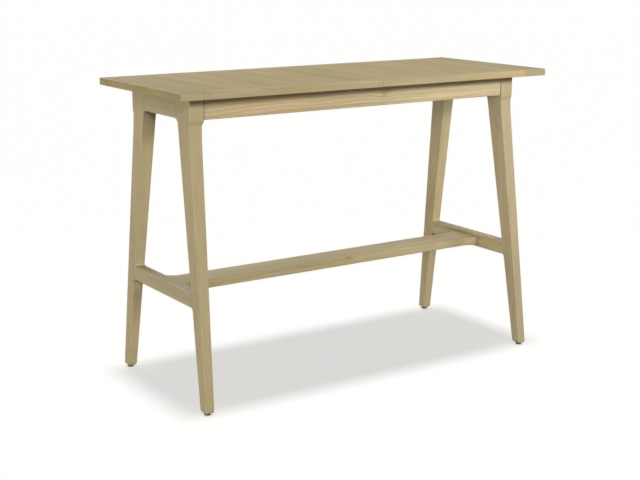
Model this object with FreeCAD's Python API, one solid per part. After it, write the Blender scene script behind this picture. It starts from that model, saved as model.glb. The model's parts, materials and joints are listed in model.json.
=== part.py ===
import FreeCAD, Part
import math
import os

# Bar-height table in pale weathered hardwood, in millimetres.
# +X runs along the table, +Y to the back, +Z up. The origin is on the floor under the middle.

# Overall sizes
table_height = 1064.0
top_length = 1524.0
top_depth = 610.0
top_thickness = 24.5

# Top: cross boards held in a frame of end rails and edge rails
end_rail_width = 102.0
edge_rail_width = 40.0
board_count = 12
tongue_thickness = 8.0
tongue_length = 9.0
tongue_end_gap = 0.5
finger_length = 20.0
finger_count = 4
finger_tip = 1.0
top_round = 2.0

# Legs: a square block at the top, a waist below it, then a splayed taper down to the foot
end_overhang = 78.0
side_overhang = 93.7
block_width = 53.3
block_depth = 93.3
waist_step = 5.4
waist_drop = 21.0
neck_width = 48.8
neck_depth = 74.7
neck_inset = 11.6
foot_splay_x = 19.2
foot_splay_y = 103.7
foot_width = 32.0
foot_depth = 38.6
foot_height = 8.0
foot_bevel = 3.5
foot_bevel_steepness = 2.0
leg_round = 2.0
apron_cove = 22.0

# Aprons
apron_height = 76.5
side_apron_thickness = 22.0
side_apron_recess = 3.0
end_apron_thickness = 24.0
apron_round = 1.5
tenon_thickness = 9.0
tenon_length = 20.0
tenon_shoulder = 10.0
tenon_end_gap = 0.5

# Middle rail under the top
cross_rail_thickness = 22.0
cross_rail_height = 58.0
cross_tenon_length = 9.0
cross_tenon_shoulder = 7.0

# Stretchers
end_stretcher_top = 397.8
end_stretcher_height = 49.8
end_stretcher_thickness = 38.4
end_stretcher_round = 1.5
stretcher_ear = 8.2
seat_cove_above = 10.0
seat_cove_below = 10.0
stretcher_tenon_thickness = 12.0
stretcher_tenon_length = 22.0
stretcher_tenon_shoulder = 8.0
footrest_width = 110.0
footrest_thickness = 32.3
footrest_drop = 0.8
footrest_round = 3.0
flare_width = 153.0
flare_length = 40.0
flare_head = 20.0
flare_tip_round = 4.0
footrest_tenon_width = 84.0

# Corner braces and their hanger bolts
brace_height = 58.0
brace_thickness = 22.0
brace_gap = 2.0
brace_drop = 4.0
bolt_radius = 4.0
bolt_clearance = 0.5
bolt_grip_in_leg = 32.0
bolt_tail = 14.0
nut_across = 13.0
nut_height = 6.5
washer_radius = 10.0
washer_thickness = 1.6
hardware_fit = 0.05

# Wood screws
screw_radius = 2.0
screw_head_radius = 4.0
screw_head_height = 2.4
brace_screw_inset = 9.0
brace_screw_cover = 14.0
brace_screw_bite = 14.0
brace_screw_rise = 15.0
screw_pocket_radius = 4.6
clip_screw_bite = 15.0

# Clips that hold the top down on the aprons
clip_thickness = 2.0
clip_width = 20.0
clip_reach = 24.0
clip_riser = 4.0
clip_tongue = 8.0
clip_drop = 11.0
clip_slot_play = 0.4
clip_slot_depth = 10.0
clip_slot_width = 30.0
side_clip_shares = (-4.5, -1.5, 1.5, 4.5)
end_clip_place = 44.0

# Levelling feet: pad, screwed stem and the threaded insert in the leg
pad_radius = 11.5
pad_height = 7.4
pad_taper = 1.2
pad_rim = 3.0
stem_radius = 3.92
stem_length = 34.0
stem_in_pad = 4.0
stem_point = 1.0
insert_radius = 6.0
insert_bore = 4.0
insert_length = 18.0
collar_radius = 8.5
collar_thickness = 0.4
stem_well_radius = 5.0
stem_well_height = 34.0

# One overrun serves every cut that has to pass right through
overrun = 1.0

# Levels and half sizes that follow from the sizes above
half_length = top_length / 2
half_depth = top_depth / 2
top_under = table_height - top_thickness
top_middle = table_height - top_thickness / 2
apron_bottom = top_under - apron_height
block_out_x = half_length - end_overhang
block_in_x = block_out_x - block_width
block_out_y = half_depth - side_overhang
block_in_y = block_out_y - block_depth
side_apron_out_y = block_out_y - side_apron_recess
side_apron_in_y = side_apron_out_y - side_apron_thickness
end_apron_in_x = block_out_x - end_apron_thickness
foot_out_x = block_out_x + foot_splay_x
foot_out_y = block_out_y + foot_splay_y
foot_in_x = foot_out_x - foot_width
foot_in_y = foot_out_y - foot_depth
foot_middle_x = foot_out_x - foot_width / 2
foot_middle_y = foot_out_y - foot_depth / 2
neck_in_x = block_out_x - neck_width
neck_out_y = block_out_y - neck_inset
neck_in_y = neck_out_y - neck_depth
leg_run = apron_bottom - foot_height
end_stretcher_bottom = end_stretcher_top - end_stretcher_height
stretcher_middle = end_stretcher_top - end_stretcher_height / 2
brace_sum = block_in_x + block_in_y - brace_gap
brace_top = top_under - brace_drop
bolt_level = brace_top - brace_height / 2
board_pitch = (top_length - 2 * end_rail_width) / board_count


def leg_out_x(level):
    """Outer face of the splayed leg, as a distance from the table's middle, at a level."""
    return foot_out_x + (block_out_x - foot_out_x) * (level - foot_height) / leg_run


def leg_in_x(level):
    return foot_in_x + (neck_in_x - foot_in_x) * (level - foot_height) / leg_run


def leg_out_y(level):
    return foot_out_y + (neck_out_y - foot_out_y) * (level - foot_height) / leg_run


def leg_in_y(level):
    return foot_in_y + (neck_in_y - foot_in_y) * (level - foot_height) / leg_run


end_stretcher_out_x = leg_out_x(stretcher_middle)
end_stretcher_in_x = end_stretcher_out_x - end_stretcher_thickness
seat_y = leg_in_y(stretcher_middle) - stretcher_ear

# The cove between the end apron's lower edge and the leg touches both
inner_slope = (foot_in_y - neck_in_y) / leg_run
inner_stretch = math.sqrt(1 + inner_slope ** 2)
cove_z = apron_bottom - apron_cove
cove_y = leg_in_y(cove_z) - apron_cove * inner_stretch
cove_joint_z = cove_z + math.sqrt(apron_cove ** 2 - (block_in_y - cove_y) ** 2)


def vec(x, y, z):
    return FreeCAD.Vector(x, y, z)


def block(x0, x1, y0, y1, z0, z1):
    """A rectangular solid between two corners."""
    return Part.makeBox(x1 - x0, y1 - y0, z1 - z0, vec(x0, y0, z0))


def line(start, end):
    return Part.LineSegment(start, end).toShape()


def curve(start, corner, end):
    """A smooth bend that leaves start towards corner and arrives at end from it."""
    bend = Part.BezierCurve()
    bend.setPoles([start, corner, end])
    return bend.toShape()


def prism(edges, travel):
    """The solid that a closed outline sweeps along a straight travel."""
    return Part.Face(Part.Wire(edges)).extrude(travel)


def polygon(points, travel):
    return Part.Face(Part.makePolygon(points + [points[0]])).extrude(travel)


def rod(radius, start, end):
    """A round bar between two points."""
    run = end - start
    return Part.makeCylinder(radius, run.Length, start, run)


def flip_x(shape):
    return shape.mirror(vec(0, 0, 0), vec(1, 0, 0))


def flip_y(shape):
    return shape.mirror(vec(0, 0, 0), vec(0, 1, 0))


def arc_point(angle):
    """A point on the cove under the end apron, with the angle up from the horizontal."""
    turn = math.radians(angle)
    return vec(0, cove_y + apron_cove * math.cos(turn), cove_z + apron_cove * math.sin(turn))


def long_edges(shape, direction, least):
    """Straight edges that run mostly along a direction and are at least so long."""
    found = []
    for edge in shape.Edges:
        ends = edge.Vertexes
        if len(ends) != 2 or edge.Length < least:
            continue
        run = ends[1].Point - ends[0].Point
        if abs(run * direction) > run.Length * math.cos(math.radians(15)):
            found.append(edge)
    return found


# Top


def finger_teeth(root_x, tip_x, depth_from, depth_to):
    """Interlocking glue fingers, as seen on the table's edge, between two places along X."""
    pitch = top_thickness / finger_count
    teeth = []
    for index in range(finger_count):
        low = top_under + index * pitch
        middle = low + pitch / 2
        points = [
            vec(root_x, depth_from, low + finger_tip / 2),
            vec(tip_x, depth_from, middle - finger_tip / 2),
            vec(tip_x, depth_from, middle + finger_tip / 2),
            vec(root_x, depth_from, low + pitch - finger_tip / 2),
        ]
        teeth.append(polygon(points, vec(0, depth_to - depth_from, 0)))
    return teeth


def top_outline():
    """The whole top as one board with eased edges, which each piece is trimmed to."""
    board = block(-half_length, half_length, -half_depth, half_depth, top_under, table_height)
    return board.makeFillet(top_round, board.Edges)


def tongue_groove(x0, x1, y0, y1):
    return block(x0, x1, y0, y1, top_middle - tongue_thickness / 2, top_middle + tongue_thickness / 2)


def top_pieces():
    """End rails, edge rails and cross boards, as they lie on the right and front, then mirrored."""
    outline = top_outline()
    inner_x = half_length - end_rail_width
    inner_y = half_depth - edge_rail_width
    groove_y = inner_y + tongue_length + tongue_end_gap
    groove_x = inner_x + tongue_length + tongue_end_gap
    end_teeth = finger_teeth(inner_x, inner_x + finger_length, -half_depth, -inner_y)
    middle_teeth = finger_teeth(-finger_length / 2, finger_length / 2, -half_depth, -inner_y)

    end_rail = block(inner_x, half_length, -half_depth, half_depth, top_under, table_height)
    end_rail = end_rail.cut(end_teeth + [flip_y(tooth) for tooth in end_teeth])
    end_rail = end_rail.cut(tongue_groove(inner_x - overrun, groove_x, -groove_y, groove_y)).common(outline)

    left_front = block(-inner_x, -finger_length / 2, -half_depth, -inner_y, top_under, table_height)
    left_front = left_front.fuse([flip_x(tooth) for tooth in end_teeth] + middle_teeth)
    right_front = block(-finger_length / 2, inner_x, -half_depth, -inner_y, top_under, table_height)
    right_front = right_front.cut(middle_teeth).fuse(end_teeth)
    groove = tongue_groove(-inner_x - overrun, inner_x + overrun, -groove_y, -inner_y + overrun)
    left_front = left_front.cut(groove).common(outline).removeSplitter()
    right_front = right_front.cut(groove).common(outline).removeSplitter()

    pieces = {
        "top_end_rail_right": end_rail,
        "top_end_rail_left": flip_x(end_rail),
        "top_front_rail_left": left_front,
        "top_front_rail_right": right_front,
        "top_back_rail_left": flip_y(left_front),
        "top_back_rail_right": flip_y(right_front),
    }
    pitch = 2 * inner_x / board_count
    for index in range(board_count):
        x0 = -inner_x + index * pitch
        x1 = x0 + pitch
        board = block(x0, x1, -inner_y, inner_y, top_under, table_height)
        tongues = [tongue_groove(x0, x1, -inner_y - tongue_length, inner_y + tongue_length)]
        if index == 0:
            tongues.append(tongue_groove(x0 - tongue_length, x1, -inner_y, inner_y))
        if index == board_count - 1:
            tongues.append(tongue_groove(x0, x1 + tongue_length, -inner_y, inner_y))
        pieces["top_board_%02d" % (index + 1)] = board.fuse(tongues).removeSplitter()
    return pieces


# Legs


def leg_side_outline():
    """The leg seen from the table's end: block, waist, splayed taper, stretcher seat and foot."""
    waist_y = block_out_y - waist_step
    waist_level = apron_bottom - waist_drop
    slope = (foot_out_y - neck_out_y) / leg_run
    turn = math.atan(slope)
    radius = (waist_y - leg_out_y(waist_level)) * math.cos(turn) / (1 - math.cos(turn))
    sweep_end = vec(0, waist_y + radius * (1 - math.cos(turn)), waist_level - radius * math.sin(turn))
    sweep_middle = vec(
        0, waist_y + radius * (1 - math.cos(turn / 2)), waist_level - radius * math.sin(turn / 2)
    )
    waist = vec(0, waist_y, waist_level)
    lip = vec(0, block_out_y, apron_bottom)
    lip_bend = vec(0, block_out_y, apron_bottom - waist_drop / 4)
    waist_bend = vec(0, waist_y, waist_level + waist_drop / 4)
    swell = (lip_bend + waist_bend) / 2
    top_out = vec(0, block_out_y, top_under)
    top_in = vec(0, block_in_y, top_under)
    joint = vec(0, block_in_y, cove_joint_z)
    joint_angle = math.degrees(math.acos((block_in_y - cove_y) / apron_cove))
    cove_angle = math.degrees(math.atan(inner_slope))
    cove_middle = arc_point((joint_angle + cove_angle) / 2)
    cove_end = arc_point(cove_angle)
    above = end_stretcher_top + seat_cove_above
    below = end_stretcher_bottom - seat_cove_below
    seat_start = vec(0, leg_in_y(above), above)
    seat_top = vec(0, seat_y, end_stretcher_top)
    seat_bottom = vec(0, seat_y, end_stretcher_bottom)
    seat_end = vec(0, leg_in_y(below), below)
    foot_in = vec(0, foot_in_y, foot_height)
    foot_out = vec(0, foot_out_y, foot_height)
    return [
        line(top_in, top_out),
        line(top_out, lip),
        curve(lip, lip_bend, swell),
        curve(swell, waist_bend, waist),
        Part.Arc(waist, sweep_middle, sweep_end).toShape(),
        line(sweep_end, foot_out),
        line(foot_out, foot_in),
        line(foot_in, seat_end),
        curve(seat_end, vec(0, leg_in_y(end_stretcher_bottom), end_stretcher_bottom), seat_bottom),
        line(seat_bottom, seat_top),
        curve(seat_top, vec(0, leg_in_y(end_stretcher_top), end_stretcher_top), seat_start),
        line(seat_start, cove_end),
        Part.Arc(cove_end, cove_middle, joint).toShape(),
        line(joint, top_in),
    ]


def leg_front_outline():
    """The leg seen from the front: a square block, an eased inner corner and a light taper."""
    hollow_level = apron_bottom - waist_drop
    corner = vec(block_in_x, 0, apron_bottom)
    corner_bend = vec(block_in_x, 0, apron_bottom - waist_drop / 4)
    hollow = vec(leg_in_x(hollow_level), 0, hollow_level)
    bend_level = hollow_level + waist_drop / 4
    hollow_bend = vec(leg_in_x(bend_level), 0, bend_level)
    swell = (corner_bend + hollow_bend) / 2
    points = {
        "top_in": vec(block_in_x, 0, top_under),
        "top_out": vec(block_out_x, 0, top_under),
        "break_out": vec(block_out_x, 0, apron_bottom),
        "foot_out": vec(foot_out_x, 0, foot_height),
        "foot_in": vec(foot_in_x, 0, foot_height),
    }
    return [
        line(points["top_in"], points["top_out"]),
        line(points["top_out"], points["break_out"]),
        line(points["break_out"], points["foot_out"]),
        line(points["foot_out"], points["foot_in"]),
        line(points["foot_in"], hollow),
        curve(hollow, hollow_bend, swell),
        curve(swell, corner_bend, corner),
        line(corner, points["top_in"]),
    ]


def foot_bevels():
    """Wedges that bevel the four lower edges of the foot."""
    low = foot_height - overrun
    high = foot_height + foot_bevel * foot_bevel_steepness
    lean = foot_bevel + overrun / foot_bevel_steepness
    long_x = foot_width + foot_bevel * 2
    long_y = foot_depth + foot_bevel * 2
    wedges = []
    for x, side in ((foot_in_x, 1), (foot_out_x, -1)):
        start = foot_in_y - foot_bevel
        rim = [vec(x - side * foot_bevel, start, low), vec(x + side * lean, start, low),
               vec(x, start, high), vec(x - side * foot_bevel, start, high)]
        wedges.append(polygon(rim, vec(0, long_y, 0)))
    for y, side in ((foot_in_y, 1), (foot_out_y, -1)):
        start = foot_in_x - foot_bevel
        rim = [vec(start, y - side * foot_bevel, low), vec(start, y + side * lean, low),
               vec(start, y, high), vec(start, y - side * foot_bevel, high)]
        wedges.append(polygon(rim, vec(long_x, 0, 0)))
    return wedges


def outer_arris(edge):
    """True for the leg's three outward arrises, and for the inward one under the stretcher."""
    place = edge.BoundBox.Center
    inward_x = place.x < (leg_in_x(place.z) + leg_out_x(place.z)) / 2
    inward_y = place.y < (leg_in_y(place.z) + leg_out_y(place.z)) / 2
    return not (inward_x and inward_y) or place.z < end_stretcher_bottom


def back_right_leg():
    side = prism(leg_side_outline(), vec(top_length, 0, 0))
    front = prism(leg_front_outline(), vec(0, top_depth, 0))
    leg = side.common(front)
    upright = long_edges(leg, vec(0, 0, 1), apron_height / 2)
    leg = leg.makeFillet(leg_round, [edge for edge in upright if outer_arris(edge)])
    return leg.cut(foot_bevels())


# Aprons and rails


def side_apron_tenon(gap):
    middle = side_apron_out_y - side_apron_thickness / 2
    reach = block_in_x + tenon_length + gap
    y0 = middle - tenon_thickness / 2
    y1 = middle + tenon_thickness / 2
    return block(-reach, reach, y0, y1, apron_bottom + tenon_shoulder, top_under - tenon_shoulder)


def end_apron_tenon(gap):
    middle = block_out_x - end_apron_thickness / 2
    reach = block_in_y + tenon_length + gap
    x0 = middle - tenon_thickness / 2
    x1 = middle + tenon_thickness / 2
    return block(x0, x1, -reach, reach, apron_bottom + tenon_shoulder, top_under - tenon_shoulder)


def cross_rail_tenon(gap):
    half = cross_rail_thickness / 2 - cross_tenon_shoulder
    reach = side_apron_in_y + cross_tenon_length + gap
    low = top_under - cross_rail_height + cross_tenon_shoulder
    return block(-half, half, -reach, reach, low, top_under - cross_tenon_shoulder)


def back_apron():
    apron = block(-block_in_x, block_in_x, side_apron_in_y, side_apron_out_y, apron_bottom, top_under)
    lengthwise = long_edges(apron, vec(1, 0, 0), block_in_x)
    low = [edge for edge in lengthwise if edge.BoundBox.ZMax < apron_bottom + apron_height / 2]
    apron = apron.makeFillet(apron_round, low)
    return apron.fuse(side_apron_tenon(0)).cut(cross_rail_tenon(tenon_end_gap))


def right_end_apron():
    """A straight rail whose lower corners sweep down into the legs' coves."""
    corner = vec(0, block_in_y, top_under)
    joint = vec(0, block_in_y, cove_joint_z)
    joint_angle = math.degrees(math.acos((block_in_y - cove_y) / apron_cove))
    sweep = arc_point((joint_angle + 90) / 2)
    flat = arc_point(90)
    half = [line(corner, joint), Part.Arc(joint, sweep, flat).toShape()]
    other = [flip_y(edge) for edge in half]
    outline = half + [line(flat, flat - vec(0, 2 * flat.y, 0))] + other
    outline.append(line(corner, corner - vec(0, 2 * corner.y, 0)))
    face = Part.Face(Part.Wire(Part.__sortEdges__(outline)))
    face.translate(vec(end_apron_in_x, 0, 0))
    return face.extrude(vec(end_apron_thickness, 0, 0)).fuse(end_apron_tenon(0))


def cross_rail():
    half = cross_rail_thickness / 2
    low = top_under - cross_rail_height
    rail = block(-half, half, -side_apron_in_y, side_apron_in_y, low, top_under)
    return rail.fuse(cross_rail_tenon(0))


# Stretchers


def end_stretcher_tenon(gap):
    middle = (end_stretcher_in_x + end_stretcher_out_x) / 2
    reach = seat_y + stretcher_tenon_length + gap
    x0 = middle - stretcher_tenon_thickness / 2
    x1 = middle + stretcher_tenon_thickness / 2
    z0 = end_stretcher_bottom + stretcher_tenon_shoulder
    return block(x0, x1, -reach, reach, z0, end_stretcher_top - stretcher_tenon_shoulder)


def footrest_tenon(gap):
    reach = end_stretcher_in_x + stretcher_tenon_length + gap
    half = footrest_tenon_width / 2
    z0 = stretcher_middle - stretcher_tenon_thickness / 2
    return block(-reach, reach, -half, half, z0, stretcher_middle + stretcher_tenon_thickness / 2)


def right_end_stretcher():
    x0 = end_stretcher_in_x
    x1 = end_stretcher_out_x
    bar = block(x0, x1, -seat_y, seat_y, end_stretcher_bottom, end_stretcher_top)
    bar = bar.makeFillet(end_stretcher_round, long_edges(bar, vec(0, 1, 0), seat_y))
    return bar.fuse(end_stretcher_tenon(0)).cut(footrest_tenon(tenon_end_gap))


def footrest_outline():
    """A long board whose sides flare out in a hollow arc to a short straight head at each end."""
    half = footrest_width / 2
    low = stretcher_middle - footrest_drop - footrest_thickness / 2
    rise = flare_width / 2 - half
    radius = (flare_length ** 2 + rise ** 2) / (2 * rise)
    turn = math.asin(flare_length / radius)
    tip_x = end_stretcher_in_x - flare_head
    start = vec(tip_x - flare_length, half, low)
    sweep = start + vec(radius * math.sin(turn / 2), radius * (1 - math.cos(turn / 2)), 0)
    tip = vec(tip_x, flare_width / 2, low)
    corner = vec(end_stretcher_in_x, flare_width / 2, low)
    outline = []
    for edge in (Part.Arc(start, sweep, tip).toShape(), line(tip, corner)):
        outline.extend([edge, flip_x(edge), flip_y(edge), flip_x(flip_y(edge))])
    side = line(start, start - vec(2 * start.x, 0, 0))
    end = line(corner, corner - vec(0, 2 * corner.y, 0))
    outline.extend([side, flip_y(side), end, flip_x(end)])
    return Part.__sortEdges__(outline)


def footrest():
    """The board's flare tips are softened first, then the arrises that run along it."""
    board = prism(footrest_outline(), vec(0, 0, footrest_thickness))
    tips = [edge for edge in long_edges(board, vec(0, 0, 1), footrest_thickness / 2)
            if end_stretcher_in_x - abs(edge.BoundBox.Center.x) > flare_head / 2
            and abs(edge.BoundBox.Center.y) > footrest_width / 2 + overrun]
    board = board.makeFillet(flare_tip_round, tips)
    level = [edge for edge in board.Edges if edge.BoundBox.ZLength < overrun]
    arrises = [edge for edge in level if edge.BoundBox.XLength > overrun]
    return board.makeFillet(footrest_round, arrises).fuse(footrest_tenon(0))


# Corner braces and their fixings


def diagonal_point(level, distance):
    """A point on the brace's bolt line, at a distance outwards from the leg block's inner corner."""
    step = distance / math.sqrt(2)
    return vec(block_in_x + step, block_in_y + step, level)


def brace_faces():
    """Distances of the brace's outer and inner faces, as the sums of their X and Y."""
    return brace_sum, brace_sum - brace_thickness * math.sqrt(2)


def brace_screw_lines():
    """Where the brace's screws enter the aprons: a point on the apron's face and the way in."""
    outer, inner = brace_faces()
    side_x = outer - side_apron_in_y - brace_screw_inset
    end_y = outer - end_apron_in_x - brace_screw_inset
    lines = []
    for rise in (-brace_screw_rise, brace_screw_rise):
        level = bolt_level + rise
        lines.append((vec(side_x, side_apron_in_y, level), vec(0, 1, 0)))
        lines.append((vec(end_apron_in_x, end_y, level), vec(1, 0, 0)))
    return lines


def corner_brace():
    outer, inner = brace_faces()
    low = brace_top - brace_height
    points = [
        vec(outer - side_apron_in_y, side_apron_in_y, low),
        vec(inner - side_apron_in_y, side_apron_in_y, low),
        vec(end_apron_in_x, inner - end_apron_in_x, low),
        vec(end_apron_in_x, outer - end_apron_in_x, low),
    ]
    brace = polygon(points, vec(0, 0, brace_height))
    hole = rod(bolt_radius + bolt_clearance, bolt_point(-brace_thickness * 2), bolt_point(0))
    cuts = [hole]
    for entry, way in brace_screw_lines():
        cuts.append(rod(screw_radius + hardware_fit, entry - way * brace_thickness, entry + way * overrun))
        seat = entry - way * brace_screw_cover
        cuts.append(rod(screw_pocket_radius, seat - way * brace_thickness * 2, seat))
    return brace.cut(cuts)


def bolt_point(distance):
    return diagonal_point(bolt_level, distance)


def nut_place():
    return -brace_gap / math.sqrt(2) - brace_thickness


def hanger_bolt():
    start = nut_place() - bolt_tail
    shank = rod(bolt_radius, bolt_point(start), bolt_point(bolt_grip_in_leg))
    ends = [edge for edge in shank.Edges if edge.Length < 7 * bolt_radius and len(edge.Vertexes) == 1]
    return shank.makeChamfer(stem_point, ends)


def washer():
    start = nut_place() - washer_thickness
    disc = rod(washer_radius, bolt_point(start), bolt_point(nut_place()))
    return disc.cut(rod(bolt_radius + hardware_fit, bolt_point(start - overrun), bolt_point(0)))


def nut():
    """A hexagon nut on the hanger bolt, drawn in against the washer."""
    start = nut_place() - washer_thickness - nut_height
    across = nut_across / 2 / math.cos(math.radians(30))
    corners = [vec(across * math.cos(math.radians(60 * k)), across * math.sin(math.radians(60 * k)), 0)
               for k in range(6)]
    body = polygon(corners, vec(0, 0, nut_height))
    dome = Part.makeCone(across + nut_height, nut_across / 2, nut_height)
    body = body.common(dome)
    way = (bolt_point(nut_height) - bolt_point(0)).normalize()
    body.Placement = FreeCAD.Placement(bolt_point(start), FreeCAD.Rotation(vec(0, 0, 1), way * -1))
    body.translate(way * nut_height)
    return body.cut(rod(bolt_radius + hardware_fit, bolt_point(start - overrun), bolt_point(0)))


def wood_screw(head_seat, way, length):
    """A flat-backed screw whose head rests at a place and whose point runs in along a direction."""
    shank_end = head_seat + way * (length - screw_head_radius)
    shank = rod(screw_radius, head_seat, shank_end)
    point = Part.makeCone(screw_radius, screw_radius / 4, screw_head_radius, shank_end, way)
    head = Part.makeCone(
        screw_head_radius, screw_head_radius / 2, screw_head_height, head_seat, way * -1
    )
    return head.fuse([shank, point])


def brace_screws():
    length = brace_screw_cover + brace_screw_bite
    return [wood_screw(entry - way * brace_screw_cover, way, length) for entry, way in brace_screw_lines()]


def brace_screw_holes():
    holes = []
    for entry, way in brace_screw_lines():
        start = entry - way * overrun
        holes.append(rod(screw_radius + hardware_fit, start, entry + way * brace_screw_bite))
    return holes


# Clips under the top


def clip_places():
    """Places of the clips on the inner faces of the aprons, with the way into each apron.

    Along the sides the shares are of the width of one board, so each clip grips a single board.
    """
    places = []
    for side in (-1, 1):
        for share in side_clip_shares:
            places.append((vec(share * board_pitch, side * side_apron_in_y, top_under), vec(0, side, 0)))
        for place in (-end_clip_place, end_clip_place):
            places.append((vec(side * end_apron_in_x, place, top_under), vec(side, 0, 0)))
    return places


def turned(shape, place, way):
    """A shape drawn with its way in along +X, turned and moved to a place."""
    shape.Placement = FreeCAD.Placement(place, FreeCAD.Rotation(vec(1, 0, 0), way))
    return shape


def clip():
    """A bent steel strip: tongue in the apron's slot, riser, and a flange under the top."""
    half = clip_width / 2
    riser = -clip_riser
    flange = -clip_riser - clip_reach
    drop = -clip_drop
    points = [
        vec(flange, -half, 0),
        vec(riser, -half, 0),
        vec(riser, -half, drop),
        vec(clip_tongue, -half, drop),
        vec(clip_tongue, -half, drop - clip_thickness),
        vec(riser - clip_thickness, -half, drop - clip_thickness),
        vec(riser - clip_thickness, -half, -clip_thickness),
        vec(flange, -half, -clip_thickness),
    ]
    strip = polygon(points, vec(0, clip_width, 0))
    corners = [edge for edge in strip.Edges if abs(edge.BoundBox.YLength - clip_width) < overrun / 10]
    outside = [edge for edge in corners if edge.BoundBox.XMin < flange + overrun]
    strip = strip.makeFillet(clip_thickness / 3, [edge for edge in corners if edge not in outside])
    return strip.cut(rod(screw_radius + hardware_fit, clip_screw_seat() - vec(0, 0, overrun),
                         clip_screw_seat() + vec(0, 0, clip_drop)))


def clip_screw_seat():
    return vec(-clip_riser - clip_reach / 2 - clip_thickness / 2, 0, -clip_thickness)


def clip_slot():
    """The slot milled in an apron's inner face for a clip's tongue."""
    half = clip_slot_width / 2
    low = -clip_drop - clip_thickness - clip_slot_play
    return block(-overrun, clip_slot_depth, -half, half, low, -clip_drop + clip_slot_play)


def clip_screw():
    return wood_screw(clip_screw_seat(), vec(0, 0, 1), clip_screw_bite)


def clip_screw_hole():
    seat = clip_screw_seat()
    return rod(screw_radius + hardware_fit, seat, seat + vec(0, 0, clip_screw_bite))


# Levelling feet


def foot_point(level):
    return vec(foot_middle_x, foot_middle_y, level)


def insert_cutter():
    body = rod(insert_radius, foot_point(foot_height - overrun), foot_point(foot_height + insert_length))
    well = rod(stem_well_radius, foot_point(foot_height), foot_point(foot_height + stem_well_height))
    return body.fuse(well)


def threaded_insert():
    """A brass bush with a thin collar under the leg."""
    low = foot_point(foot_height - collar_thickness)
    body = rod(insert_radius, low, foot_point(foot_height + insert_length))
    collar = rod(collar_radius, low, foot_point(foot_height))
    bore = rod(insert_bore, foot_point(foot_height - overrun), foot_point(top_under))
    return body.fuse(collar).cut(bore)


def leveller_pad():
    """A round pad that narrows to the floor and has a bevelled rim, turned about its stem."""
    base = pad_radius - pad_taper
    points = [
        vec(0, 0, 0),
        vec(base, 0, 0),
        vec(pad_radius, 0, pad_rim),
        vec(pad_radius, 0, pad_height - pad_taper),
        vec(pad_radius - pad_taper, 0, pad_height),
        vec(0, 0, pad_height),
    ]
    pad = Part.Face(Part.makePolygon(points + [points[0]])).revolve(vec(0, 0, 0), vec(0, 0, 1), 360)
    pad.translate(foot_point(0))
    socket = rod(stem_radius, foot_point(pad_height - stem_in_pad), foot_point(pad_height + overrun))
    return pad.cut(socket)


def leveller_stem():
    top = pad_height - stem_in_pad + stem_length
    stem = rod(stem_radius, foot_point(pad_height - stem_in_pad), foot_point(top))
    tip = [edge for edge in stem.Edges if len(edge.Vertexes) == 1 and edge.BoundBox.ZMin > top - overrun]
    return stem.makeChamfer(stem_point, tip)


# The four corners, the two ends and the two sides share one drawing each


def four_corners(shape):
    return {
        "back_right": shape,
        "back_left": flip_x(shape),
        "front_right": flip_y(shape),
        "front_left": flip_x(flip_y(shape)),
    }


def group(shapes):
    return Part.makeCompound(shapes)


def around(shapes):
    """Every shape of a corner, at all four corners, as one group of solids."""
    everywhere = []
    for shape in shapes:
        everywhere.extend(four_corners(shape).values())
    return group(everywhere)


def all_parts():
    pieces = top_pieces()
    places = clip_places()
    top_holes = [turned(clip_screw_hole(), place, way) for place, way in places]
    for name in pieces:
        pieces[name] = pieces[name].cut(top_holes)
    slots = [turned(clip_slot(), place, way) for place, way in places]

    leg = back_right_leg()
    bolt_hole = rod(bolt_radius + hardware_fit, bolt_point(-brace_gap), bolt_point(bolt_grip_in_leg))
    mortises = [
        side_apron_tenon(tenon_end_gap), end_apron_tenon(tenon_end_gap), end_stretcher_tenon(tenon_end_gap),
        bolt_hole, insert_cutter(),
    ]
    leg = leg.cut(mortises)
    for corner, shape in four_corners(leg).items():
        pieces["leg_" + corner] = shape

    apron = back_apron()
    apron_holes = brace_screw_holes()
    apron = apron.cut(apron_holes + [flip_x(hole) for hole in apron_holes] + slots)
    pieces["apron_back"] = apron
    pieces["apron_front"] = flip_y(apron)
    end_apron = right_end_apron()
    end_apron = end_apron.cut(apron_holes + [flip_y(hole) for hole in apron_holes] + slots)
    pieces["apron_right"] = end_apron
    pieces["apron_left"] = flip_x(end_apron)
    pieces["cross_rail"] = cross_rail()

    stretcher = right_end_stretcher()
    pieces["stretcher_right"] = stretcher
    pieces["stretcher_left"] = flip_x(stretcher)
    pieces["footrest"] = footrest()

    for corner, shape in four_corners(corner_brace()).items():
        pieces["corner_brace_" + corner] = shape
    pieces["hanger_bolts"] = around([hanger_bolt()])
    pieces["washers"] = around([washer()])
    pieces["nuts"] = around([nut()])
    pieces["brace_screws"] = around(brace_screws())
    pieces["top_clips"] = group([turned(clip(), place, way) for place, way in places])
    pieces["clip_screws"] = group([turned(clip_screw(), place, way) for place, way in places])

    pieces["threaded_inserts"] = around([threaded_insert()])
    for corner, shape in four_corners(leveller_pad()).items():
        pieces["leveller_pad_" + corner] = shape
    for corner, shape in four_corners(leveller_stem()).items():
        pieces["leveller_stem_" + corner] = shape
    return pieces


os.makedirs("parts", exist_ok=True)
for node, solid in all_parts().items():
    solid.exportStep("parts/" + node + ".step")
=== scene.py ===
import json
import math
from collections import namedtuple

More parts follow.
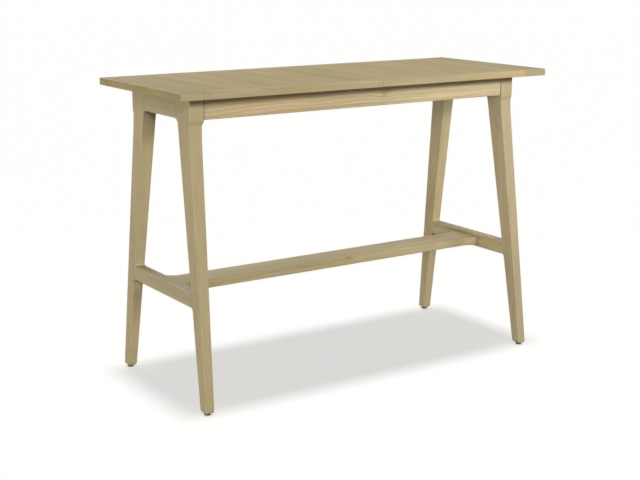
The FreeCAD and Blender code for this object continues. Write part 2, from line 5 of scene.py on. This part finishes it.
import bpy
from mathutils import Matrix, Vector


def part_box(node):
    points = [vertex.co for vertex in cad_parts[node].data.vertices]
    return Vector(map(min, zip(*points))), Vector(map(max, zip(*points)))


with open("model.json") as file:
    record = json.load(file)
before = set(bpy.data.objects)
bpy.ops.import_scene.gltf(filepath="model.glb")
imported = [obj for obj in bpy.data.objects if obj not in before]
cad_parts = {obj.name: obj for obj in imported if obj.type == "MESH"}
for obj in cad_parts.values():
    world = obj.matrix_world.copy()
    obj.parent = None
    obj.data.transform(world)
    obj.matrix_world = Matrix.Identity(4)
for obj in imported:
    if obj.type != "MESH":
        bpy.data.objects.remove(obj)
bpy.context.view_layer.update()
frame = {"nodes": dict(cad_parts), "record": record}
scene = bpy.context.scene

# Kinds of group socket, and the colour sockets of the mix node, whose names its other sockets share
FLOAT = "NodeSocketFloat"
VECTOR = "NodeSocketVector"
COLOUR = "NodeSocketColor"
MIX_FACTOR, MIX_FIRST, MIX_SECOND, MIX_RESULT = 0, 6, 7, 2
WHITE = (1.0, 1.0, 1.0, 1.0)

# Pale bleached hardwood, in display values from 0 to 255
PALE = (196, 179, 137)
HONEY = (198, 179, 127)
DEEP = (150, 131, 89)
WARM = (206, 165, 119)
GREYED = (164, 157, 127)
END_GRAIN = (204, 189, 151)

# How each slot's wood is cut: the axis its grain runs along, its colour, tone, warmth, figure and gloss
Cut = namedtuple("Cut", "grain colour tone warmth figure gloss")
CUTS = {
    "board_wood": Cut("y", HONEY, 1.01, 0.30, 0.85, 0.08),
    "end_rail_wood": Cut("y", HONEY, 0.95, 0.25, 0.85, 0.08),
    "edge_rail_wood": Cut("x", PALE, 0.98, 0.30, 0.80, 0.22),
    "long_rail_wood": Cut("x", PALE, 1.21, 0.40, 1.10, 0.30),
    "end_frame_wood": Cut("y", PALE, 0.98, 0.25, 0.80, 0.40),
    "leg_wood": Cut("z", PALE, 0.96, 0.18, 0.45, 0.22),
    "hidden_wood": Cut("x", PALE, 1.05, 0.45, 1.00, 0.22),
}
OWN_COLOURS = {
    "top_end_rail_right": (193, 180, 141),
    "apron_front": (197, 181, 146),
    "apron_back": (197, 181, 146),
    "leg_front_right": (195, 179, 142),
}
# Each piece's own tone. The top's boards' tones are the wood's own; the legs' and stretchers' tones are
# partly painted light, lighter or darker to stand in for the light that reaches each piece.
TONES_AND_PAINTED_LIGHT = {
    "top_end_rail_left": 0.90,
    "top_board_01": 0.98,
    "top_board_02": 0.97,
    "top_board_03": 1.04,
    "top_board_07": 0.97,
    "top_board_08": 1.06,
    "top_board_09": 1.06,
    "footrest": 1.0,
    "stretcher_left": 0.94,
    "stretcher_right": 1.07,
    "leg_front_right": 0.93,
    "leg_back_left": 0.945,
    "leg_back_right": 0.99,
}
DARK_ENDS = {"top_end_rail_right": 0.22}

# From board to board the tone swings a little, and the seed of the grain moves on
BOARD_SWING = 0.035
BOARD_SWING_STEP = 2.4
SEED_STEP = 0.73

# Small knots in the boards that run along the table: place and size in metres
Knot = namedtuple("Knot", "place size")
KNOTS = {
    "apron_front": Knot((0.088, -0.208, 0.998), 0.005),
    "footrest": Knot((0.045, -0.055, 0.384), 0.0035),
    "apron_back": Knot((-0.243, 0.208, 0.990), 0.004),
}
NO_KNOT = Knot((0.0, 0.0, -9.0), 0.01)

# Where the long rails meet the legs and the footrest meets the stretchers, from the middle
LEG_HEAD_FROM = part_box("leg_front_right")[0][0]
STRETCHER_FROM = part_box("stretcher_right")[0][0]
JOINTS = {"apron_front": LEG_HEAD_FROM, "apron_back": LEG_HEAD_FROM, "footrest": STRETCHER_FROM}

# Finger joints of the edge rails, as in the solids
FINGERS_IN_EDGE = 4
edge_low, edge_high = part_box("top_front_rail_right")
TOP_UNDERSIDE = edge_low[2]
FINGER_PITCH = (edge_high[2] - edge_low[2]) / FINGERS_IN_EDGE
MIDDLE_FINGERS_AT = edge_low[0]
END_FINGERS_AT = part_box("top_end_rail_right")[0][0]
FINGER_LENGTH = edge_high[0] - END_FINGERS_AT

# Cells of the wood's figure in a metre, along the grain and both ways across it
DRIFT_CELLS = (1.6, 6.0, 6.0)
RING_PATCH_CELLS = (0.9, 9.0, 9.0)
STREAK_CELLS = (1.8, 42.0, 42.0)
FIBRE_CELLS = (7.0, 420.0, 420.0)
PORE_CELLS = (34.0, 1100.0, 1100.0)
WARM_CELLS = (1.5, 18.0, 18.0)
GREY_CELLS = (1.7, 12.0, 12.0)
GREY_SHIFT = (4.0, 9.0, 2.0)
SEED_SHIFT = (3.71, 0.513, 0.229)

# Growth rings: how far they run with the grain, how they sway across it, and how fine they are
RING_RUN = (0.05, 1.0, 1.0)
RING_SWAY = (0.0, 0.09, 0.06)
RING_SCALE = 24.0
RING_WAVER = 2.5
LATE_WOOD_EDGE = 3.0

# A knot is long with the grain, and bends the rings around it
KNOT_SHAPE = (0.4, 1.0, 1.0)
SWIRL_FADE = 0.09
SWIRL_PULL = 0.15

# How much the parts of the figure darken or cover the wood
RING_DEPTH = 0.55
STREAK_DEPTH = 0.46
FIBRE_DEPTH = 0.22
SWIRL_DEPTH = 0.6
PORE_DEPTH = 0.16
KNOT_DEPTH = 0.26
GREY_COVER = 0.38
END_GRAIN_COVER = 0.6

# Painted shade: a dark line just before a shoulder, where shadow falls in the joint; and the glue line
# of the fingers on both sides of its path
SHOULDER_SHADE_SPAN = (-0.0045, -0.0015)
SHOULDER_SHADE_DEPTH = 0.68
GLUE_LINE = (0.003, 0.001)
GLUE_DEPTH = 0.3
GLUE_DEPTH_AT_ENDS = 0.5
FINGER_SIDE = (0.16, 0.84)
FINGER_END = (0.28, 0.4)

THREAD_PITCH = 0.00125
THREAD_RISE = 2.0
THREAD_SHADOW = (60, 60, 60)
DULLED = 0.8
SCUFF_PALER = 26


def linear(colour):
    """Display values to the shader's linear ones."""
    values = []
    for channel in colour:
        share = channel / 255
        values.append(share / 12.92 if share <= 0.04045 else ((share + 0.055) / 1.055) ** 2.4)
    return (*values, 1.0)


class Nodes:
    """Short calls for building one node tree."""

    def __init__(self, tree):
        self.tree = tree

    def put(self, socket, value):
        if isinstance(value, bpy.types.NodeSocket):
            self.tree.links.new(value, socket)
        else:
            socket.default_value = value

    def fill(self, node, inputs):
        for name, value in inputs.items():
            self.put(node.inputs[name], value)
        return node

    def add(self, kind, inputs=None, **settings):
        node = self.tree.nodes.new(kind)
        for name, value in settings.items():
            setattr(node, name, value)
        return self.fill(node, inputs or {})

    def place(self, group, inputs):
        return self.add("ShaderNodeGroup", inputs, node_tree=group).outputs

    def math(self, operation, *values, clamp=False):
        inputs = dict(enumerate(values))
        return self.add("ShaderNodeMath", inputs, operation=operation, use_clamp=clamp).outputs["Value"]

    def total(self, first, *others):
        for other in others:
            first = self.math("ADD", first, other)
        return first

    def product(self, first, *others):
        for other in others:
            first = self.math("MULTIPLY", first, other)
        return first

    def rest(self, share):
        """What is left of 1 once a share is taken."""
        return self.math("SUBTRACT", 1.0, share)

    def vector(self, operation, *values, scale=None):
        inputs = dict(enumerate(values))
        if scale is not None:
            inputs["Scale"] = scale
        return self.add("ShaderNodeVectorMath", inputs, operation=operation).outputs

    def scaled(self, vector, scale):
        return self.vector("SCALE", vector, scale=scale)["Vector"]

    def stretched(self, vector, stretch):
        return self.vector("MULTIPLY", vector, stretch)["Vector"]

    def moved(self, vector, way):
        return self.vector("ADD", vector, way)["Vector"]

    def split(self, vector):
        return self.add("ShaderNodeSeparateXYZ", {"Vector": vector}).outputs

    def noise(self, place, stretch, detail=2.0, roughness=0.5):
        """Soft noise whose cells are 1/stretch metres long on each axis."""
        inputs = {"Scale": 1.0, "Detail": detail, "Roughness": roughness}
        inputs["Vector"] = self.stretched(place, stretch)
        return self.add("ShaderNodeTexNoise", inputs).outputs["Fac"]

    def ramp(self, value, low, high):
        """0 at low and 1 at high, straight between them and level outside."""
        inputs = {"Value": value, "From Min": low, "From Max": high}
        return self.add("ShaderNodeMapRange", inputs).outputs["Result"]

    def blend(self, factor, first, second):
        inputs = {MIX_FACTOR: factor, MIX_FIRST: first, MIX_SECOND: second}
        return self.add("ShaderNodeMix", inputs, data_type="RGBA").outputs[MIX_RESULT]


def new_group(name, inputs, outputs):
    """A shader group, its nodes, and what it is given."""
    group = bpy.data.node_groups.new(name, "ShaderNodeTree")
    for in_out, sockets in (("INPUT", inputs), ("OUTPUT", outputs)):
        for label, kind in sockets.items():
            group.interface.new_socket(name=label, in_out=in_out, socket_type=kind)
    n = Nodes(group)
    return group, n, n.add("NodeGroupInput").outputs


def timber_group():
    """Grain that runs along the X of the place it is given: rings, streaks, fibres and pores."""
    group, n, given = new_group(
        "timber",
        {
            "Place": VECTOR,
            "Seed": FLOAT,
            "Pale": COLOUR,
            "Tone": FLOAT,
            "Warmth": FLOAT,
            "Figure": FLOAT,
            "End Grain": FLOAT,
            "Knot": VECTOR,
            "Knot Size": FLOAT,
        },
        {"Colour": COLOUR, "Roughness": FLOAT, "Height": FLOAT},
    )
    place = n.moved(given["Place"], n.scaled(SEED_SHIFT, given["Seed"]))

    from_knot = n.vector("SUBTRACT", given["Place"], given["Knot"])["Vector"]
    offset = n.stretched(from_knot, KNOT_SHAPE)
    squared = n.vector("DOT_PRODUCT", offset, offset)["Value"]
    sized = n.math("DIVIDE", squared, n.product(given["Knot Size"], given["Knot Size"]))
    core = n.math("EXPONENT", n.product(sized, -1.0))
    swirl = n.math("EXPONENT", n.product(sized, -SWIRL_FADE))

    drift = n.noise(place, DRIFT_CELLS)
    pull = n.total(n.math("SUBTRACT", drift, 0.5), n.product(swirl, SWIRL_PULL))
    bent = n.moved(n.stretched(place, RING_RUN), n.scaled(RING_SWAY, pull))
    rings = n.add(
        "ShaderNodeTexWave",
        {"Vector": bent, "Scale": RING_SCALE, "Distortion": RING_WAVER, "Detail Scale": 1.1},
        wave_type="RINGS",
        rings_direction="X",
        wave_profile="SAW",
    ).outputs["Fac"]
    late_wood = n.math("POWER", rings, LATE_WOOD_EDGE)
    figured = n.ramp(n.noise(place, RING_PATCH_CELLS, detail=1.0), 0.38, 0.62)
    streaks = n.noise(place, STREAK_CELLS, detail=3.0, roughness=0.6)
    fibres = n.noise(place, FIBRE_CELLS, roughness=0.6)
    pores = n.ramp(n.noise(place, PORE_CELLS, detail=1.0), 0.62, 0.72)
    patches = n.noise(place, WARM_CELLS)
    greys = n.noise(n.moved(place, GREY_SHIFT), GREY_CELLS)

    grain = n.total(
        n.product(late_wood, figured, RING_DEPTH),
        n.product(n.ramp(streaks, 0.34, 0.7), STREAK_DEPTH),
        n.product(n.ramp(fibres, 0.3, 0.7), FIBRE_DEPTH),
        n.product(swirl, late_wood, SWIRL_DEPTH),
    )
    depth = n.math("MULTIPLY", grain, given["Figure"], clamp=True)
    warm = n.math("MULTIPLY", n.ramp(patches, 0.52, 0.74), given["Warmth"], clamp=True)
    grey = n.product(n.ramp(greys, 0.5, 0.76), GREY_COVER)
    colour = n.blend(depth, given["Pale"], linear(DEEP))
    colour = n.blend(warm, colour, linear(WARM))
    colour = n.blend(grey, colour, linear(GREYED))
    colour = n.blend(n.product(given["End Grain"], END_GRAIN_COVER), colour, linear(END_GRAIN))
    lightness = n.math("SUBTRACT", n.rest(n.product(pores, PORE_DEPTH)), n.product(core, KNOT_DEPTH))
    colour = n.scaled(colour, n.product(lightness, given["Tone"]))

    rough = n.total(0.5, n.product(fibres, 0.16), n.product(given["End Grain"], 0.12))
    raised = n.math("SUBTRACT", n.product(fibres, 0.4), n.product(pores, 0.8))
    height = n.total(raised, n.product(late_wood, 0.3))
    n.add("NodeGroupOutput", {"Colour": colour, "Roughness": rough, "Height": height})
    return group


def joint_shade_group():
    """Painted shade: the thin dark line of shadow where a rail meets its neighbour, at a distance from
    the middle.
    """
    inputs = {"Across": FLOAT, "Joint At": FLOAT, "Tone": FLOAT}
    group, n, given = new_group("painted joint shade", inputs, {"Tone": FLOAT})
    past = n.math("SUBTRACT", n.math("ABSOLUTE", given["Across"]), given["Joint At"])
    line = n.product(n.ramp(past, *SHOULDER_SHADE_SPAN), SHOULDER_SHADE_DEPTH)
    n.add("NodeGroupOutput", {"Tone": n.product(given["Tone"], n.rest(line))})
    return group


def finger_group():
    """The zigzag glue line of a finger joint, darker at the fingers' ends, on a rail's outer side."""
    inputs = {"Across": FLOAT, "Level": FLOAT, "Sideways": FLOAT, "Tone": FLOAT}
    group, n, given = new_group("finger joint", inputs, {"Tone": FLOAT})
    slope = n.math("PINGPONG", n.math("DIVIDE", given["Level"], FINGER_PITCH / 2), 1.0)
    reach = n.product(n.ramp(slope, *FINGER_SIDE), FINGER_LENGTH)
    off = n.math("ABSOLUTE", n.math("SUBTRACT", given["Across"], reach))
    at_end = n.ramp(n.math("ABSOLUTE", n.math("SUBTRACT", slope, 0.5)), *FINGER_END)
    depth = n.total(n.product(at_end, GLUE_DEPTH_AT_ENDS), GLUE_DEPTH)
    line = n.product(n.ramp(off, *GLUE_LINE), depth, given["Sideways"])
    n.add("NodeGroupOutput", {"Tone": n.product(given["Tone"], n.rest(line))})
    return group


def metal_group():
    """Drawn metal: a cloudy colour, fine scratches and a little relief."""
    group, n, given = new_group(
        "worked metal",
        {"Place": VECTOR, "Bright": COLOUR, "Dull": COLOUR, "Polish": FLOAT},
        {"Colour": COLOUR, "Roughness": FLOAT, "Height": FLOAT},
    )
    scratches = n.noise(given["Place"], (900.0, 900.0, 120.0))
    cloud = n.noise(given["Place"], (60.0, 60.0, 60.0))
    colour = n.blend(cloud, given["Bright"], given["Dull"])
    rough = n.total(given["Polish"], n.product(scratches, 0.15))
    height = n.product(scratches, 0.1)
    n.add("NodeGroupOutput", {"Colour": colour, "Roughness": rough, "Height": height})
    return group


TIMBER = timber_group()
JOINT_SHADE = joint_shade_group()
FINGERS = finger_group()
METAL = metal_group()


def new_material(name):
    """A material, its nodes and its shader."""
    material = bpy.data.materials.new(name)
    material.use_nodes = True
    return material, Nodes(material.node_tree), material.node_tree.nodes["Principled BSDF"]


def dress(n, shader, colour, roughness, height, strength, distance):
    """Give a shader its colour, its roughness, and its relief, whose full height is in metres."""
    bump = n.add("ShaderNodeBump", {"Height": height, "Strength": strength, "Distance": distance})
    surface = {"Base Color": colour, "Roughness": roughness, "Normal": bump.outputs["Normal"]}
    n.fill(shader, surface)


def grain_place(n, place, grain):
    """The place with its axes swapped so that the grain's axis comes first."""
    order = {"x": "XYZ", "y": "YXZ", "z": "ZXY"}[grain]
    parts = n.split(place)
    axes = {axis: parts[source] for axis, source in zip("XYZ", order)}
    return n.add("ShaderNodeCombineXYZ", axes).outputs["Vector"]


def fingered(n, place, facing, tone, with_middle):
    """The tone with the finger joints' lines: at the end rails, and at the middle of an edge rail."""
    parts = n.split(place)
    starts = [n.math("SUBTRACT", n.math("ABSOLUTE", parts["X"]), END_FINGERS_AT)]
    if with_middle:
        starts.append(n.math("SUBTRACT", parts["X"], MIDDLE_FINGERS_AT))
    level = n.math("SUBTRACT", parts["Z"], TOP_UNDERSIDE)
    sideways = n.ramp(n.math("ABSOLUTE", facing["Y"]), 0.5, 0.9)
    for across in starts:
        lines = {"Across": across, "Level": level, "Sideways": sideways, "Tone": tone}
        tone = n.place(FINGERS, lines)["Tone"]
    return tone


def wood_material(node, seed, cut):
    """One board's wood: its own grain, its tone, its end grain, its knot, the glue lines of its finger
    joints, and the painted shade line where it meets a leg or stretcher.
    """
    material, n, shader = new_material(node.replace("_", " ") + " wood")
    coordinates = n.add("ShaderNodeTexCoord").outputs
    place = coordinates["Object"]
    facing = n.split(coordinates["Normal"])
    end_grain = n.ramp(n.math("ABSOLUTE", facing[cut.grain.upper()]), 0.75, 0.95)
    tone = cut.tone
    if node in DARK_ENDS:
        tone = n.product(n.rest(n.product(end_grain, DARK_ENDS[node])), tone)
    if node.startswith("top_") and "rail" in node:
        tone = fingered(n, place, facing, tone, with_middle="end" not in node)
    # Painted shade: a dark line of shadow just before the joint with a leg or stretcher
    if node in JOINTS:
        line = {"Across": n.split(place)["X"], "Joint At": JOINTS[node], "Tone": tone}
        tone = n.place(JOINT_SHADE, line)["Tone"]
    knot = KNOTS.get(node, NO_KNOT)
    timber = n.place(
        TIMBER,
        {
            "Place": grain_place(n, place, cut.grain),
            "Seed": seed,
            "Pale": linear(cut.colour),
            "Tone": tone,
            "Warmth": cut.warmth,
            "Figure": cut.figure,
            "End Grain": end_grain,
            "Knot": knot.place,
            "Knot Size": knot.size,
        },
    )
    colour, rough, height = (timber[name] for name in ("Colour", "Roughness", "Height"))
    dress(n, shader, colour, rough, height, strength=0.3, distance=0.0004)
    shader.inputs["Specular IOR Level"].default_value = cut.gloss
    return material


def metal_material(name, colour, polish, threaded=False):
    """Worked metal, and where it is threaded the turns of its thread as relief and shade."""
    material, n, shader = new_material(name)
    place = n.add("ShaderNodeTexCoord").outputs["Object"]
    dull = [channel * DULLED for channel in colour]
    inputs = {"Place": place, "Bright": linear(colour), "Dull": linear(dull), "Polish": polish}
    metal = n.place(METAL, inputs)
    shade = metal["Colour"]
    height = metal["Height"]
    if threaded:
        turns = n.math("DIVIDE", n.split(place)["Z"], THREAD_PITCH)
        ridge = n.product(n.math("PINGPONG", turns, 0.5), THREAD_RISE)
        height = n.total(height, ridge)
        shade = n.blend(ridge, n.blend(0.5, shade, linear(THREAD_SHADOW)), shade)
    dress(n, shader, shade, metal["Roughness"], height, strength=0.6, distance=0.0006)
    shader.inputs["Metallic"].default_value = 1.0
    return material


def plastic_material(name, colour):
    """Moulded plastic with a fine grain, paler where it is scuffed."""
    material, n, shader = new_material(name)
    place = n.add("ShaderNodeTexCoord").outputs["Object"]
    grains = n.noise(place, (1500.0, 1500.0, 1500.0), detail=1.0)
    scuffs = n.noise(place, (90.0, 90.0, 240.0), detail=3.0)
    paler = [channel + SCUFF_PALER for channel in colour]
    worn = n.blend(n.ramp(scuffs, 0.55, 0.8), linear(colour), linear(paler))
    rough = n.total(0.45, n.product(scuffs, 0.2))
    dress(n, shader, worn, rough, grains, strength=0.3, distance=0.0002)
    return material


FITTINGS = {
    "steel": metal_material("zinc plated steel", (190, 192, 194), 0.28),
    "stem": metal_material("threaded steel", (186, 188, 190), 0.3, threaded=True),
    "brass": metal_material("brass", (196, 164, 96), 0.3),
    "pad_plastic": plastic_material("black plastic", (24, 23, 22)),
}


def finish_for(node, slot, number):
    """The material of one piece, which is shared among fittings and a board's own in wood."""
    if node.startswith("leveller_stem"):
        return FITTINGS["stem"]
    if slot in FITTINGS:
        return FITTINGS[slot]
    cut = CUTS[slot]
    # A piece's own tone, which for the legs and stretchers is partly painted light
    tone = TONES_AND_PAINTED_LIGHT.get(node, cut.tone)
    if slot == "board_wood":
        tone += BOARD_SWING * math.sin(number * BOARD_SWING_STEP)
    cut = cut._replace(colour=OWN_COLOURS.get(node, cut.colour), tone=tone)
    return wood_material(node, number * SEED_STEP, cut)


slots = {part["node"]: part["material_slot"] for part in frame["record"]["subparts"]}
for number, node in enumerate(sorted(frame["nodes"])):
    piece = frame["nodes"][node]
    piece.data.materials.clear()
    piece.data.materials.append(finish_for(node, slots[node], number))


# Floor, light and camera

FLOOR_SIZE = 160.0
FLOOR_GLOW = 0.62
FLOOR_TONE = 0.93
FLOOR_BOUNCE = 0.12
ROOM_LIGHT = 0.08
ROOM_COLOUR = (1.0, 0.94, 0.84, 1.0)

# Far screens: degrees left of the table's front, degrees up, width in degrees, power
OVERHEAD = (0.0, 90.0, 7.0, 1.03)
FAR_SCREENS = {
    "front": (-10.0, 17.0, 10.0, 0.42),
    "front left": (18.0, 17.0, 10.0, 1.30),
    "left": (76.0, 0.0, 24.0, 1.40),
    "back": (180.0, 18.0, 25.0, 2.95),
    "right": (-95.0, 6.0, 30.0, 1.20),
}
# Near screens: place, target and size in metres, spread in degrees, power
NEAR_SCREENS = {
    "left high": ((-6.0, 0.8, 0.75), (0.0, 0.0, 0.98), (1.6, 0.5), 20.0, 0.30),
    "front right": ((2.0, -2.6, 1.72), (0.45, -0.2, 1.1), (1.0, 0.4), 75.0, 7.5),
}

# The photo's camera, solved from the table's straight edges
CAMERA_PLACE = (-2.5043, -3.7107, 1.4942)
CAMERA_DOWN = 13.18
CAMERA_RIGHT = 33.53
CAMERA_LENS = 69.616
CAMERA_SENSOR = 36.0


def seen_directly(n):
    """1 for the rays that show a background: from the camera, or off gloss, or through glass."""
    rays = n.add("ShaderNodeLightPath").outputs
    seen = n.math("MAXIMUM", rays["Is Camera Ray"], rays["Is Glossy Ray"])
    return n.math("MAXIMUM", seen, rays["Is Transmission Ray"])


def white_floor():
    """A floor that looks white, keeps the table's shadow, and sends little light back up."""
    bpy.ops.mesh.primitive_plane_add(size=FLOOR_SIZE, location=(0, 0, 0))
    floor = bpy.context.object
    floor.name = "floor"
    material, n, shader = new_material("white floor")
    seen = seen_directly(n)
    level = n.total(FLOOR_BOUNCE, n.product(seen, FLOOR_TONE - FLOOR_BOUNCE))
    grey = n.add("ShaderNodeCombineColor", {"Red": level, "Green": level, "Blue": level})
    surface = {
        "Base Color": grey.outputs["Color"],
        "Roughness": 1.0,
        "Specular IOR Level": 0.0,
        "Emission Color": WHITE,
        "Emission Strength": n.product(seen, FLOOR_GLOW),
    }
    n.fill(shader, surface)
    floor.data.materials.append(material)
    return floor


def white_room(strength):
    """White to the eye on every side, and a weak warm light on the table."""
    world = bpy.data.worlds.new("white room")
    world.use_nodes = True
    scene.world = world
    n = Nodes(world.node_tree)
    seen = seen_directly(n)
    power = n.total(n.product(seen, 1.0 - strength), strength)
    background = {"Color": n.blend(seen, ROOM_COLOUR, WHITE), "Strength": power}
    n.fill(world.node_tree.nodes["Background"], background)


def hang(light, way, place=(0, 0, 0)):
    """A light's lamp in the scene, which shines along a way."""
    lamp = bpy.data.objects.new(light.name, light)
    lamp.location = place
    lamp.rotation_euler = Vector(way).to_track_quat("-Z", "Y").to_euler()
    scene.collection.objects.link(lamp)
    return lamp


def far_screen(name, left_of_front, elevation, width, power):
    """A soft screen far off, given by its two angles and how wide it looks, in degrees."""
    light = bpy.data.lights.new(name, "SUN")
    light.energy = power
    light.angle = math.radians(width)
    turn = math.radians(left_of_front)
    rise = math.radians(elevation)
    way = (math.sin(turn) * math.cos(rise), math.cos(turn) * math.cos(rise), -math.sin(rise))
    return hang(light, way)


def near_screen(name, place, target, size, spread, power):
    """A rectangular screen in the room whose light fades out at half its spread, in degrees."""
    light = bpy.data.lights.new(name, "AREA")
    light.shape = "RECTANGLE"
    light.size, light.size_y = size
    light.energy = power
    light.spread = math.radians(spread)
    return hang(light, Vector(target) - Vector(place), place)


def keep_to(lamp, floor, only_floor):
    """The lamp lights the floor alone, or everything but the floor, which doesn't stop its light."""
    group = bpy.data.collections.new(lamp.name + " light")
    group.objects.link(floor)
    lamp.light_linking.receiver_collection = group
    if not only_floor:
        group.collection_objects[0].light_linking.link_state = "EXCLUDE"
        lamp.light_linking.blocker_collection = group


def photo_camera():
    """The camera that sees the table as the photo does."""
    view = bpy.data.cameras.new("photo view")
    view.sensor_fit = "HORIZONTAL"
    view.sensor_width = CAMERA_SENSOR
    view.lens = CAMERA_LENS
    camera = bpy.data.objects.new("photo view", view)
    camera.location = CAMERA_PLACE
    camera.rotation_euler = (math.radians(90.0 - CAMERA_DOWN), 0.0, math.radians(-CAMERA_RIGHT))
    scene.collection.objects.link(camera)
    return camera


floor = white_floor()
white_room(ROOM_LIGHT)
keep_to(far_screen("overhead", *OVERHEAD), floor, only_floor=True)
lamps = [far_screen(name, *screen) for name, screen in FAR_SCREENS.items()]
lamps += [near_screen(name, *screen) for name, screen in NEAR_SCREENS.items()]
for lamp in lamps:
    keep_to(lamp, floor, only_floor=False)
scene.camera = photo_camera()
scene.view_settings.view_transform = "Standard"
